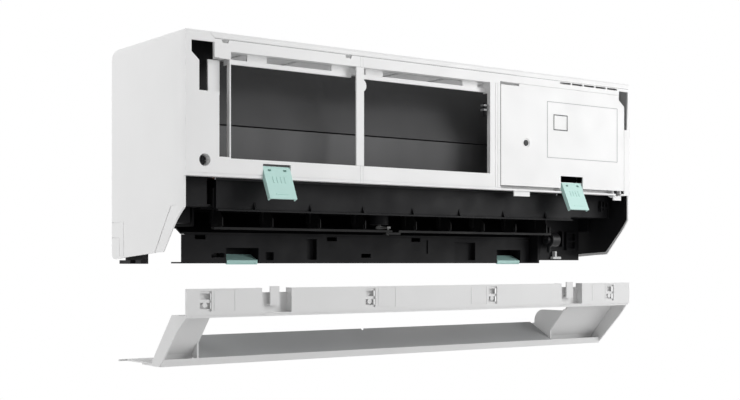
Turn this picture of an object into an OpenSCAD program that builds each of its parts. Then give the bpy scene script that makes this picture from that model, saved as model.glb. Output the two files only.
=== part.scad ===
// Mini split indoor unit with its front panel and filters off and its bottom cover taken down.
// The wall is at Y = 0, the front faces -Y, and the origin is the middle of the mounting plate's
// back face. Inside the modules, places are given as x, as depth behind the front face,
// and as height above the unit's underside.

/* [Overall size] */
// Width over the side panels
unit_w = 835; // [800:5:900]
// Height
unit_h = 295; // [292:1:310]
// Depth from the wall to the front face
unit_d = 208; // [206:1:225]
// Height of the mounting plate's middle above the underside
hang_h = 165; // [150:1:175]

/* [Casing] */
// Wall of the white casing
wall = 2.6; // [2:0.1:3.2]
// Radius of the side panels where they curve in to the front
side_r = 68; // [60:1:80]
// Depth over which the side panels curve in
side_round_d = 26; // [22:1:32]
// Radius along the top side edges
top_r = 10; // [8:0.5:14]
// Radius of the top rear corner
rear_r = 18; // [12:1:24]
// Height of the lower edge of the front frame
lip_h = 109.5; // [108:0.5:112]
// Height of the lower edge of the filter openings
sill_h = 133.5; // [131:0.5:136]
// Height of the bar above the filter openings
bar_h = 15; // [12:0.5:18]
// Height of the strip above that bar
strip_top_h = 9; // [7:0.5:11]
// Distance from the left side to the filter openings
open_in = 70.5; // [66:0.5:76]
// Distance from the right side to the service cover
service_in = 293.5; // [280:0.5:300]
// Width of the rib between the filter openings and the service cover
rib_w = 22; // [18:0.5:26]
// Width of the divider between the filter openings
divider_w = 13; // [10:0.5:16]

/* [Air path] */
// Distance from the left side to the outlet
bay_left = 65.5; // [62:0.5:68]
// Distance from the right side to the outlet
bay_right = 112.5; // [110:0.5:116]
// Depth of the fan wheel's front edge behind the front face
fan_front = 79; // [78:0.5:81]
// Gap between the fan wheel and the scroll behind it
fan_gap = 17; // [14:0.5:18]
// Height of the fan axis
fan_h = 118; // [117:0.5:120]
// Number of blades on the fan wheel
fan_blades = 30; // [24:1:36]
// Radius of the fan shafts
shaft_r = 4; // [3.5:0.1:4.5]
// Thickness of each evaporator slab
slab_t = 24; // [20:0.5:25]

/* [Vanes and latches] */
// Vanes left of the swing motor
vanes_left = 4; // [3:1:4]
// Vanes right of the swing motor
vanes_right = 5; // [4:1:5]
// Distance from a vane's pivot to its link pin
vane_arm = 21; // [19:0.5:22]
// Largest turn of a vane to each side
vane_turn = 25; // [20:1:28]
// Width of an upper latch
latch_w = 42; // [36:1:46]
// Length of an upper latch below its pivot
latch_l = 45; // [41:1:46]
// Turn of the open upper latches away from upright
latch_tilt = 24; // [18:1:28]
// Distance from the side of the unit to the middle of an upper latch
latch_in = 140.5; // [134:0.5:146]
// Width of a lower latch
low_latch_w = 50; // [44:1:56]
// Distance from the side of the unit to the middle of a lower latch
low_latch_in = 161.5; // [155:0.5:168]

/* [Bottom cover] */
// How far the cover hangs below its place
cover_drop = 143; // [135:1:160]
// Height of the cover's front strip
cover_strip_h = 34; // [32:0.5:35]
// Wall of the cover
cover_t = 2.2; // [1.8:0.1:2.6]
// Depth of the cover's bottom edge behind the front face
cover_toe_d = 70; // [66:0.5:74]

/* [Hidden] */
$fn = 96;

// Clearances and the overrun of every cut
cut = 1;
seat = 0.3;
play = 0.5;
run_fit = 0.06;

// Colours
white = [0.91, 0.91, 0.9];
cover_white = [0.8, 0.8, 0.79];
floor_grey = [0.55, 0.56, 0.56];
black = [0.1, 0.1, 0.11];
coil_grey = [0.27, 0.27, 0.28];
teal = [0.72, 0.86, 0.83];
steel = [0.7, 0.71, 0.73];
copper = [0.72, 0.42, 0.27];
brass = [0.78, 0.62, 0.32];
board_green = [0.15, 0.4, 0.25];

// Edges that several pieces share
half_w = unit_w / 2;
casing_d = unit_d - 2;
fan_back = 14;
fan_r = (unit_d - fan_front - fan_gap - fan_back) / 2;
fan_d = fan_front + fan_r;
scroll_r = fan_r + fan_gap;
strip_low = unit_h - strip_top_h;
bar_low = strip_low - bar_h;
open_x0 = -half_w + open_in;
service_x0 = half_w - service_in;
open_x1 = service_x0 - rib_w;
divider_share = 0.46;
divider_x = open_x0 + divider_share * (open_x1 - open_x0);
service_x1 = half_w - 18.5;
service_z0 = lip_h + 7.6;
service_z1 = unit_h - 21;
service_h = service_z1 - service_z0;
out_x0 = -half_w + bay_left;
out_x1 = half_w - bay_right;
out_w = out_x1 - out_x0;
cover_top = lip_h - play;
cover_low = cover_top - cover_strip_h;
front_x = half_w - side_r + sqrt(pow(side_r, 2) - pow(side_round_d, 2));
latch_x = half_w - latch_in;
low_latch_x = half_w - low_latch_in;

// Front frame
front_edge_r = 5;
return_t = 2;
return_d = 16;
side_return_d = 7;
divider_deep = 6;
clip_drop = 25.5;
clip_r = 9.6;
clip_in = 5;
backing_over = 6;
groove = 0.8;
groove_d = 1;
recess_side = half_w - 404;
recess_top = unit_h - 14;
recess_step = unit_h - 33;
recess_knee = unit_h - 39;
recess_mid = unit_h - 29;
slot_low = unit_h - 77;
slot_in = 24.5;
slot_w = 18;
pocket_d = 10;
rail_front_d = 12;
rail_drop = 8;
rail_h = 6;
rail_tab_w = 30;
rail_tab_shares = [0.07, 0.37, 0.5, 0.9];
rail_tab_places = [for (s = rail_tab_shares) open_x0 + s * (open_x1 - open_x0)];
bar_in = 46.5;
guide_in = 53.5;
guide_w = 15;
guide_low = sill_h + 1.5;
guide_top = unit_h - 34;
notch_w = 12;
notch_h = 5;
notch_places = [open_x0 - 8, divider_x - 20];
seam_w = 4.5;
slit_count = 5;
slit_x = service_x0 + 126;
slit_pitch = 27;
slit_w = 24;
slit_z = [strip_low - 4.5, strip_low - 1.5];
groove_rise = 7;
knock_line = 1.4;
band_d = [31, 75];
band_low = 14;
screw_x = half_w - 32.5;
screw_z = 130;
screw_right_drop = 14;
screw_post_r = 5.5;
screw_reach = 12;
screws = [[-screw_x, screw_z], [screw_x, screw_z - screw_right_drop]];
screw_hole_r = 8;
screw_boss_r = 10;
screw_boss_d = 15.4;
screw_r = 6.5;
screw_shank_r = 2;
screw_slot = 1.2;
chamfer_h = cover_low - 2;
chamfer_d = 53;
toe_h = 13;
heel_d = 80;
heel_h = 11.8;
rear_low_h = 4;
rear_low_r = 9;
ledge_t = 2.4;
crossbar_d = 13;
crossbar_h = 18;
ear_t = 2.6;
ear_gap = 0.6;
tab_h = 8;
tab_t = 2;
tab_d = 4;
tab_spans = [[155, 188], [377.5, 396]];
knock_w = [38, 25];
knock_top = [55, 34];
knock_low = 9;

// Upper latches
latch_pivot_d = 6;
latch_pivot_h = lip_h + 12.5;
latch_pin_r = 1.2;
latch_barrel_r = 2.8;
latch_t = 1.8;
latch_front = 0.8;
latch_cheek_deep = 8;
latch_cheek_slim = 6;
latch_slot_top = lip_h + 19.5;

// Top grille
grille_t = 3;
grille_d = [24, casing_d - 24];
grille_x = [-half_w + 60, half_w - 105];
grille_bar = 2.4;
grille_pitch = 8.5;
grille_rib_pitch = 92;
grille_rim = 6;

// Service cover, button and label
cover_plate_t = 2.4;
button_x = service_x0 + 53;
button_z_share = 0.4264;
button_z = service_z0 + button_z_share * service_h;
button_r = 4.6;
button_ring_r = 7.2;
button_ring_d = 0.9;
button_proud = 0.6;
button_travel = 1.5;
button_flange_r = 6.2;
button_flange_t = 1.4;
button_stem_r = 2;
board_d = 13;
board_t = 1.6;
board_w = 46;
board_h = 34;
switch_w = 6;
switch_h = 4;
post_r = 2.6;
post_in = 5;
label_x = [service_x0 + 98, service_x0 + 259];
label_z_shares = [0.2957, 0.8598];
label_z = [for (s = label_z_shares) service_z0 + s * service_h];
label_line = 1;
icon_w = 31;
latch_cut_w = 25;
latch_cut_top = lip_h + 26.5;

// Fan chamber and chassis
shell_t = 2.5;
back_d = unit_d - 7;
back_t = 3;
side_wall_x = half_w - 13.5;
side_wall_h = 52;
side_wall_d = 38;
channel_h = 48;
chassis_top = unit_h - 12;
partition_t = 3.5;
floor_leave = 62;
scroll_up = 35;
guide_end_d = fan_d - 4;
guide_end_z = fan_h - scroll_r * sin(floor_leave)
  - (scroll_r * cos(floor_leave) + 4) * tan(90 - floor_leave);
foot_x = half_w - 14;
foot_out = [4, 14.5];
foot_t = 2;
foot_d = [unit_d - 84, unit_d - 18];
foot_z = [-2.5, 2.5];
foot_gap_d = [unit_d - 68, unit_d - 52];
foot_room = 1.5;
cheek_room = 1.8;
end_room_d = 84;
end_room_h = 73;
part_leg_d = [106, 157];
part_leg_h = -2;
rear_slab_in = 22;
liner_t = 1;
liner_d = 6;
liner_top = 120;
liner_edge = 4;
motor_hole_r = 26;

// Drain pan
pan_front_d = 30;
pan_t = 2.2;
pan_low_h = fan_h - 51;
pan_top_h = lip_h - 2;
pan_nose_share = [0.84, 0.69];
pan_rear_shares = [[0.99, 0.43], [1.07, 0.2]];
pan_nose = [fan_d - pan_nose_share[0] * fan_r, fan_h - pan_nose_share[1] * fan_r];
pan_ledge_d = 5;
pan_ledge_h = 3;
gusset_t = 3;
gusset_h = 14;
gusset_pitch = 90;
gusset_count = floor(out_w / gusset_pitch);
pan_end_gap = 0.3;
spigot_r = 8;
spigot_bore_r = 6.2;
spigot_l = 26;
spigot_collar_r = 10;
spigot_collar_l = 4;
spigot_d = 58;
spigot_z = 86;

// Lower panel
panel_d = guide_end_d + 0.3;
panel_t = 2.6;
panel_h = guide_end_z - shell_t / cos(90 - floor_leave) - seat;
panel_flange_d = 32;
panel_flange_t = 2;
panel_x = [out_x0, out_x1 - 3];
panel_hole_h = 6;
panel_hole_w = 18;
panel_hole_shares = [[0.0441, 0.908], [0.3805, 0.895], [0.624, 0.908], [0.4764, 0.25], [0.0883, 0.25],
  [0.7884, 0.21]];
panel_hole_places = [for (s = panel_hole_shares) [out_x0 + s[0] * out_w, s[1] * panel_h]];
panel_eye_r = 2.6;
panel_eye_share = [0.0731, 0.218];
panel_eye = [out_x0 + panel_eye_share[0] * out_w, panel_eye_share[1] * panel_h];
panel_bay_shares = [[0.2024, 0.0244, 0.037, 0.368], [0.7443, 0.07, 0.04, 0.816], [0.3105, 0.0304, 0.053,
  0.868]];
panel_bays = [for (s = panel_bay_shares) [out_x0 + s[0] * out_w, s[1] * out_w, s[2] * panel_h,
  s[3] * panel_h]];
panel_rib_shares = [0.659, 0.0244, 0.342, 0.895];
bay_t = 1.2;
bay_deep = 10;
low_latch_pivot_d = panel_d + 20;
low_latch_pivot_h = 8.5;
low_latch_t = 2;
low_latch_reach = 19.5;
low_latch_drop = 10;
low_latch_pin_r = 1.2;
low_latch_barrel_r = 2.6;
low_bay_h = 20;
low_bay_room = 1.5;

// Right end housing
housing_x = [out_x1 + partition_t + 0.3, side_wall_x - shell_t / 2 - 0.3];
housing_d = [40, 106];
housing_step_h = 74;
housing_low_h = 3;
housing_t = 2.5;

// Coils: outlines in depth and height
crease_d = 40;
crease_h = unit_h - 113;
coil_low_h = pan_low_h + 30;
coil_lean = 6;
coil_gap = 2;
upper_top = [fan_d - 54, unit_h - 24];
rear_top = [fan_d - 30, unit_h - 33];
rear_low = [unit_d - 40, fan_h + 60];
coil_x = [out_x0 + 8, out_x1 - 17];
end_plate_t = 1.2;
tube_r = 3.5;
tube_pitch = 20;

// Fan, bearing and motor
fan_x = [out_x0 + 8, out_x1 - 8];
fan_disc_t = 3;
fan_sections = 7;
fan_inner_r = fan_r - 11;
blade_t = 1.1;
blade_lead = 14;
stub_l = 24;
bearing_r = 11;
bearing_l = 9;
holder_t = 3;
holder_l = 12;
hub_r = 9;
hub_l = 20;
motor_r = fan_r - 6;
motor_end_in = 37;
motor_x0 = out_x1 + partition_t + 10;
motor_l = half_w - motor_end_in - motor_x0;
motor_boss_r = 20;
motor_boss_l = 8;
clamp_w = 14;
clamp_t = 2;
clamp_foot = 16;
clamp_screw_r = 4;

// Vanes
vane_pivot_d = fan_front - 2;
rail_z = [pan_low_h + 4, pan_low_h + 10.6];
roof_gap = 0.05;
rail_d = [vane_pivot_d - 5, vane_pivot_d + 5];
vane_z = [pan_low_h - 19, pan_low_h + 2.6];
vane_d = [vane_pivot_d - 26, vane_pivot_d + 9];
vane_t = 1.4;
vane_pin_r = 1.6;
link_pin_r = 1.5;
link_z = [vane_z[0] - 4.4, vane_z[0] - 1.4];
link_w = 8.6;
link_slot_play = 0.45;
link_lap = 3.3;
swing_x = out_x0 + 0.46 * (out_x1 - out_x0);
link_pin_d = vane_pivot_d - vane_arm;
left_x = [for (i = [0:vanes_left - 1]) out_x0 + 22 + i * (swing_x - out_x0 - 66) / (vanes_left - 1)];
right_x = [for (i = [0:vanes_right - 1]) swing_x + 50 + i * (out_x1 - swing_x - 84) / (vanes_right - 1)];
link_over = 12;
stepper_r = 14;
stepper_l = 17;

// Louver drive
louver_d = 93;
louver_motor_r = 12;
louver_z = 37;
louver_hub_r = 7;
louver_hub_l = 6;
louver_key_l = 3;
louver_key = 3;

// Electrics
box_x = [out_x1 + partition_t + 0.3, half_w - 20];
box_d = [22, 76];
box_z = [124, unit_h - 26];
box_t = 2;
main_board_d = 64;

// Mounting plate
plate_w = 620;
plate_h = 220;
plate_t = 1.2;
plate_lift = unit_d - back_d - back_t;
plate_hook_w = 40;
plate_hook_t = 3;
plate_screw_r = 3;
plate_screw_x = 440;
plate_screw_z = 150;
plate_hole_pitch = 60;

// Pipes in the channel behind the lower panel
gas_r = 4.76;
liquid_r = 3.18;
pipe_end_x = 90;
pipe_r = [gas_r, liquid_r];
pipe_low = [30, 14];
pipe_top = [194, 206];
pipe_d = [unit_d - 31, unit_d - 41];
pipe_x = [out_x1 + 20, out_x1 + 8.5];
nut_l = 20;

// Bottom cover in its seated place
cover_toe_h = 6;
cover_lip_h = 9.5;
cover_nose_d = cover_toe_d - (cover_low - cover_toe_h);
cover_band_h = 3.2;
cover_heel = [84, 21];
cover_brow_d = 36;
cover_tail_d = 92;
cover_in = wall + liner_t + 0.6;
cover_x0 = out_x0 - 7.2;
cover_x1 = out_x1 - 4;
cheek_back_d = 110;
cheek_top_h = 64;
cheek_r = 20;
end_wall_d = 78;
end_wall_h = cheek_top_h + 6.5;
end_play = 0.7;
window_w = 17;
window_h = 26;
window_low = cover_low + 5;
window_deep = 4.9;
window_back_t = 1.2;
window_knob_r = 3.4;
window_knob_h = 8;
window_shares = [-0.939, -0.314, 0.237, 0.855];
window_places = [for (s = window_shares) s * half_w];
emblem_w = 31;
emblem_h = 27;
emblem_shares = [-0.891, -0.263, 0.152, 0.773];
emblem_places = [for (s = emblem_shares) s * half_w];
receiver_d = 12;
receiver_side_t = 1.6;
tongue_d = 5;
receiver_w = 46;
receiver_top = cover_top - 6;
receiver_low = latch_pivot_h - latch_l - play;
tongue_w = 14;
tongue_h = 9;
flange_rear_d = unit_d - 12;
flange_hook_d = [88, 100];
flange_hook_h = 8;
floor_rear = [guide_end_d - 4, guide_end_z + 1.4];
floor_t = 2;
floor_notch = 5;

function fy(d) = -unit_d + d;

// Moves what is drawn from the underside's height to the frame of the mounting plate
module at_unit() {
  translate([0, 0, -hang_h]) children();
}

// Box between two x, two depths and two heights
module slab(x, d, z) {
  translate([x[0], fy(d[0]), z[0]]) cube([x[1] - x[0], d[1] - d[0], z[1] - z[0]]);
}

// Outline in depth and height, drawn along x
module run_x(x) {
  translate([x[0], -unit_d, 0]) rotate([90, 0, 90]) linear_extrude(x[1] - x[0]) children();
}

// Outline in x and height, drawn through a depth
module run_d(d) {
  translate([0, fy(d[1]), 0]) rotate([90, 0, 0]) linear_extrude(d[1] - d[0]) children();
}

// Outline in x and depth, drawn up from a height
module run_z(z) {
  translate([0, -unit_d, z[0]]) linear_extrude(z[1] - z[0]) children();
}

module bar_x(x, d, z, r) {
  translate([x[0], fy(d), z]) rotate([0, 90, 0]) cylinder(r = r, h = x[1] - x[0]);
}

module bar_d(x, d, z, r) {
  translate([x, fy(d[0]), z]) rotate([-90, 0, 0]) cylinder(r = r, h = d[1] - d[0]);
}

module bar_z(x, d, z, r) {
  translate([x, fy(d), z[0]]) cylinder(r = r, h = z[1] - z[0]);
}

// Flat rectangle between two places on each axis
module pane(a, b) {
  translate([a[0], b[0]]) square([a[1] - a[0], b[1] - b[0]]);
}

// Outline frame of a rectangle
module frame_pane(a, b, t) {
  difference() {
    pane(a, b);
    pane([a[0] + t, a[1] - t], [b[0] + t, b[1] - t]);
  }
}

// Front casing
module casing_side(i) {
  top = unit_h - i;
  fr = front_edge_r;
  polygon([[i, top - fr], [i + fr, top], [casing_d - i - rear_r, top], [casing_d - i, top - rear_r],
    [casing_d - i, rear_low_h + rear_low_r], [casing_d - i - rear_low_r, rear_low_h],
    [heel_d, heel_h], [chamfer_d, toe_h], [i, chamfer_h]]);
  translate([i + fr, top - fr]) circle(r = fr);
  translate([casing_d - i - rear_r, top - rear_r]) circle(r = rear_r);
  translate([casing_d - i - rear_low_r, rear_low_h + rear_low_r]) circle(r = rear_low_r);
}

module casing_plan(i, d) {
  difference() {
    pane([-half_w + i, half_w - i], d);
    for (s = [-1, 1]) difference() {
      translate([s * (half_w - side_r / 2), side_round_d / 2 + d[0] / 2 - cut])
        square([side_r + 2 * cut, side_round_d - d[0] + 2 * cut], center = true);
      translate([s * (half_w - side_r), side_round_d]) circle(r = side_r - i);
      pane([-half_w - 2 * cut, half_w + 2 * cut], [side_round_d, side_round_d + side_r]);
    }
  }
}

module casing_front(i, low) {
  r = top_r - i;
  pane([-half_w + i, half_w - i], [low, unit_h - top_r]);
  pane([-half_w + top_r, half_w - top_r], [low, unit_h - i]);
  for (s = [-1, 1]) translate([s * (half_w - top_r), unit_h - top_r]) circle(r = r);
}

module casing_shell() {
  difference() {
    intersection() {
      run_x([-half_w, half_w]) casing_side(0);
      run_z([0, unit_h]) casing_plan(0, [0, casing_d]);
      run_d([0, casing_d]) casing_front(0, 0);
    }
    intersection() {
      run_z([-cut, unit_h]) casing_plan(wall, [wall, casing_d + cut]);
      run_d([0, casing_d + cut]) casing_front(wall, -cut);
    }
    intersection() {
      run_z([-cut, lip_h]) casing_plan(wall, [-cut, casing_d]);
      slab([-half_w, half_w], [-cut, casing_d], [-cut, lip_h]);
    }
    slab([-half_w - cut, half_w + cut], [-cut, wall + 0.2], [-cut, lip_h]);
  }
}

// Openings of the hinge pockets in the front face, as seen on the left side
module hinge_recess() {
  polygon([[-half_w + recess_side, recess_top], [-half_w + bar_in, recess_top],
    [-half_w + bar_in, recess_step], [-half_w + guide_in, recess_step],
    [-half_w + guide_in, slot_low], [-half_w + slot_in, slot_low],
    [-half_w + slot_in, recess_knee], [-half_w + recess_side, recess_mid]]);
}

module right_recess() {
  polygon([[half_w - 9.5, recess_top], [half_w - 31, recess_top], [half_w - 31, recess_mid],
    [half_w - 18, recess_knee], [half_w - 18, slot_low], [half_w - 11.5, slot_low],
    [half_w - 10, recess_knee]]);
}

module opening_returns() {
  difference() {
    slab([open_x0 - return_t, open_x1 + return_t], [wall - cut / 2, return_d], [sill_h - return_t,
      bar_low + return_t]);
    slab([open_x0, open_x1], [0, return_d + cut], [sill_h, bar_low]);
    slab([open_x0 - return_t - cut, open_x1 + return_t + cut], [side_return_d, return_d + cut],
      [sill_h + cut, bar_low - rail_drop - rail_h - return_t]);
  }
  slab([service_x0 - 2 * return_t, service_x0 - return_t], [wall - cut / 2, return_d], [lip_h,
    unit_h - wall]);
}

// Ledge, crossbar and ears that carry the upper latches
module latch_carrier() {
  reach = half_w - wall - 8;
  slab([-reach, reach], [wall - cut / 2, crossbar_d + ledge_t], [lip_h, lip_h + ledge_t]);
  slab([-reach, reach], [crossbar_d, crossbar_d + ledge_t], [lip_h, lip_h + crossbar_h]);
  for (s = [-1, 1], e = [-1, 1]) {
    mid = s * latch_x + e * (latch_w / 2 + ear_gap + ear_t / 2);
    difference() {
      slab([mid - ear_t / 2, mid + ear_t / 2], [wall + seat, crossbar_d + cut],
        [lip_h, latch_pivot_h + latch_barrel_r + 1]);
      bar_x([mid - ear_t, mid + ear_t], latch_pivot_d, latch_pivot_h, latch_pin_r);
    }
  }
}

module casing_screw_bosses() {
  bar_d(screws[0][0], [wall - cut / 2, screw_boss_d], screws[0][1], screw_boss_r);
  bar_d(screws[1][0], [cover_plate_t + play, screw_boss_d], screws[1][1], screw_boss_r);
}

module casing_screw_holes() {
  for (p = screws) {
    bar_d(p[0], [-cut, screw_boss_d - wall], p[1], screw_hole_r);
    bar_d(p[0], [0, screw_boss_d + cut], p[1], screw_shank_r);
  }
}

// Post behind a casing screw, standing on a wall at the given depth
module screw_post(p, d) {
  difference() {
    bar_d(p[0], [screw_boss_d + seat, d], p[1], screw_post_r);
    bar_d(p[0], [screw_boss_d, screw_boss_d + screw_reach], p[1], screw_shank_r);
  }
}

module knockout_lines() {
  for (i = [0, 1]) difference() {
    slab([-half_w - cut, -half_w + groove_d], [casing_d - knock_w[i], casing_d - 1], [knock_low,
      knock_top[i]]);
    slab([-half_w - 2 * cut, -half_w + groove_d + cut], [casing_d - knock_w[i] + knock_line, casing_d],
      [0, knock_top[i] - knock_line]);
  }
}

// Thinner band along the slanted lower front edge of each side
module side_band() {
  run_x([-half_w - cut, half_w + cut]) polygon([[-cut, chamfer_h - 1], [band_d[0], chamfer_h - 1],
    [band_d[1], band_low], [band_d[1], -cut], [-cut, -cut]]);
}

module front_casing() at_unit() color(white) {
  difference() {
    union() {
      casing_shell();
      opening_returns();
      latch_carrier();
      casing_screw_bosses();
      slab([-half_w + slot_in + slot_w, -half_w + guide_in + backing_over], [pocket_d,
        pocket_d + wall],
        [slot_low - wall, guide_top - 1]);
      slab([-half_w + slot_in + slot_w, -half_w + guide_in], [wall - cut / 2, pocket_d + wall],
        [slot_low - wall, slot_low]);
      for (x = [[open_x0, divider_x - divider_w / 2 - play], [divider_x + divider_w / 2 + play,
        open_x1]])
        slab(x, [rail_front_d, return_d], [bar_low - rail_drop - rail_h, bar_low - rail_drop]);
      for (x = rail_tab_places) slab([x, x + rail_tab_w], [rail_front_d, return_d],
        [bar_low - rail_drop - cut, bar_low + cut]);
      for (x = tab_spans) slab(x, [tab_d, tab_d + tab_t],
        [lip_h - tab_h, lip_h + cut]);
    }
    slab([open_x0, open_x1], [-cut, wall + cut], [sill_h, bar_low]);
    slab([service_x0, service_x1 + seat], [-cut, wall + cut / 2], [lip_h + ledge_t, service_z1 + seat]);
    run_d([-cut, wall + seat]) hinge_recess();
    run_d([-cut, wall + seat]) right_recess();
    slab([-half_w + guide_in, -half_w + guide_in + guide_w], [-cut, wall + seat], [guide_low,
      guide_top]);
    for (x = notch_places) run_d([-cut, wall + seat]) polygon([[x - notch_w / 2, strip_low],
      [x + notch_w / 2, strip_low], [x + notch_w / 3, strip_low - notch_h], [x - notch_w / 3,
        strip_low - notch_h]]);
    slab([-half_w + bar_in, service_x0 + 30], [-cut, groove_d], [strip_low, strip_low + groove]);
    run_d([-cut, groove_d]) polygon([[-half_w + bar_in, strip_low], [-half_w + bar_in - groove_rise,
      strip_low + groove_rise],
      [-half_w + bar_in - groove_rise + groove, strip_low + groove_rise], [-half_w + bar_in + groove,
        strip_low]]);
    for (i = [0:slit_count - 1]) slab([slit_x + i * slit_pitch, slit_x + i * slit_pitch + slit_w],
      [-cut, wall + seat], slit_z);
    for (x = [divider_x, divider_x + seam_w]) {
      slab([x, x + groove / 2], [-cut, groove_d / 2], [bar_low - cut, strip_low]);
      slab([x, x + groove / 2], [-cut, groove_d / 2], [lip_h - cut, sill_h + cut]);
    }
    for (x = [open_x1 + 10, open_x1 + 15]) slab([x, x + groove], [-cut, groove_d], [lip_h + 3, bar_low]);
    slab([-half_w + 10, service_x0], [-cut, groove_d], [lip_h + 3.4, lip_h + 3.4 + groove]);
    for (s = [-1, 1]) slab([s * latch_x - latch_w / 2 - ear_gap, s * latch_x + latch_w / 2 + ear_gap],
      [-cut, crossbar_d], [lip_h - cut, latch_slot_top]);
    casing_screw_holes();
    slab(grille_x, grille_d, [unit_h - 2 * wall, unit_h + cut]);
    knockout_lines();
    difference() {
      side_band();
      slab([-half_w + groove_d, half_w - groove_d], [-cut, unit_d], [-2 * cut, unit_h]);
    }
  }
}

module top_grille() at_unit() color(white) {
  x = [grille_x[0] + seat, grille_x[1] - seat];
  d = [grille_d[0] + seat, grille_d[1] - seat];
  z = [unit_h - grille_t, unit_h];
  ribs = floor((x[1] - x[0] - 2 * grille_rim) / grille_rib_pitch);
  step = (x[1] - x[0] - 2 * grille_rim) / ribs;
  slats = floor((d[1] - d[0] - 2 * grille_rim) / grille_pitch);
  pitch = (d[1] - d[0] - 2 * grille_rim) / slats;
  difference() {
    slab(x, d, z);
    for (i = [0:ribs - 1], k = [0:slats - 1]) slab(
      [x[0] + grille_rim + i * step + grille_bar / 2,
        x[0] + grille_rim + (i + 1) * step - grille_bar / 2],
      [d[0] + grille_rim + k * pitch + grille_bar / 2,
        d[0] + grille_rim + (k + 1) * pitch - grille_bar / 2],
      [z[0] - cut, z[1] + cut]);
  }
}

module centre_divider() at_unit() color(white) {
  x = [divider_x - divider_w / 2, divider_x + divider_w / 2];
  z = [sill_h + seat, bar_low - seat];
  slab(x, [seat, wall], z);
  slab([divider_x - 2, divider_x + 2], [wall - seat, divider_deep], z);
  intersection() {
    bar_d(x[1] - clip_in, [1, divider_deep], bar_low - clip_drop, clip_r);
    slab([x[0] + 2, half_w], [0, divider_deep], z);
  }
}

module service_cover() at_unit() color(white) {
  z = [service_z0, service_z1];
  difference() {
    union() {
      slab([service_x0 + seat, service_x1], [seat, cover_plate_t], z);
      frame_d = [cover_plate_t - seat, 8];
      slab([service_x0 + 2, service_x0 + 4], frame_d, z);
      for (dx = [-1, 1], dz = [-1, 1])
        bar_d(button_x + dx * (board_w / 2 - post_in), [cover_plate_t - seat, board_d],
          button_z + dz * (board_h / 2 - post_in), post_r);
    }
    bar_d(button_x, [-cut, button_ring_d + seat], button_z, button_ring_r);
    bar_d(button_x, [-cut, board_d], button_z, button_r + 0.1);
    slab([latch_x - latch_cut_w, latch_x + latch_cut_w], [-cut, 9], [service_z0 - cut, latch_cut_top]);
    slab([service_x0 - cut, service_x0 + 38], [-cut, 9], [service_z1 - 4, service_z1 + cut]);
    run_d([-cut, 9]) right_recess();
  }
}

module label_plate() at_unit() color([0.85, 0.85, 0.85]) {
  d = [0, seat];
  run_d(d) frame_pane(label_x, label_z, label_line);
  run_d(d) frame_pane([label_x[0] + 14, label_x[0] + 14 + icon_w], [label_z[0] + 44,
    label_z[0] + 44 + icon_w * 0.8],
    label_line * 1.5);
}

module push_button() at_unit() color([0.35, 0.36, 0.37]) {
  bar_d(button_x, [-button_proud + button_ring_d, cover_plate_t + seat], button_z, button_r);
  bar_d(button_x, [cover_plate_t + 0.1, cover_plate_t + 0.1 + button_flange_t], button_z, button_flange_r);
  bar_d(button_x, [cover_plate_t + button_flange_t, board_d - switch_h - button_travel - seat], button_z,
    button_stem_r);
}

module button_board() at_unit() {
  color(board_green) difference() {
    slab([button_x - board_w / 2, button_x + board_w / 2], [board_d, board_d + board_t],
      [button_z - board_h / 2, button_z + board_h / 2]);
    for (dx = [-1, 1], dz = [-1, 1]) bar_d(button_x + dx * (board_w / 2 - post_in), [0,
      board_d + board_t + cut],
      button_z + dz * (board_h / 2 - post_in), 1.2);
  }
  color("dimgray") slab([button_x - switch_w / 2, button_x + switch_w / 2], [board_d - switch_h, board_d],
    [button_z - switch_w / 2, button_z + switch_w / 2]);
}

module control_box() at_unit() color(white) {
  difference() {
    slab(box_x, box_d, box_z);
    slab([box_x[0] + box_t, box_x[1] - box_t], [box_d[0] - cut, box_d[1] - box_t], [box_z[0] + box_t,
      box_z[1] - box_t]);
  }
  for (x = [box_x[0] + 8, box_x[1] - 8], z = [box_z[0] + 34, box_z[1] - 8])
    bar_d(x, [main_board_d + board_t, box_d[1] - box_t], z, 3);
}

module main_board() at_unit() {
  x = [box_x[0] + box_t + 1, box_x[1] - box_t - 1];
  z = [box_z[0] + 30, box_z[1] - box_t - 1];
  d = main_board_d;
  color(board_green) slab(x, [d, d + board_t], z);
  color("black") for (i = [0, 1]) bar_d(x[0] + 18 + i * 24, [d - 26, d], z[1] - 18, 8);
  color("gold") slab([x[0] + 10, x[0] + 40], [d - 20, d], [z[0] + 46, z[0] + 70]);
  color("silver") slab([x[1] - 26, x[1] - 8], [d - 24, d], [z[0] + 30, z[0] + 66]);
  color("white") for (i = [0:3]) slab([x[0] + 6 + i * 17, x[0] + 18 + i * 17], [d - 10, d], [z[0] + 6,
    z[0] + 14]);
  color("royalblue") slab([x[0] + 46, x[0] + 60], [d - 15, d], [z[0] + 22, z[0] + 34]);
}

module terminal_block() at_unit() color([0.2, 0.2, 0.2]) {
  x = [box_x[0] + 10, box_x[1] - 10];
  z = [box_z[0] + box_t, box_z[0] + 24];
  difference() {
    slab(x, [box_d[1] - box_t - 20, box_d[1] - box_t], z);
    for (i = [0:3]) bar_d(x[0] + 8 + i * 15, [box_d[0], box_d[1] - 14], z[0] + 11, 3.4);
  }
}

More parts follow.
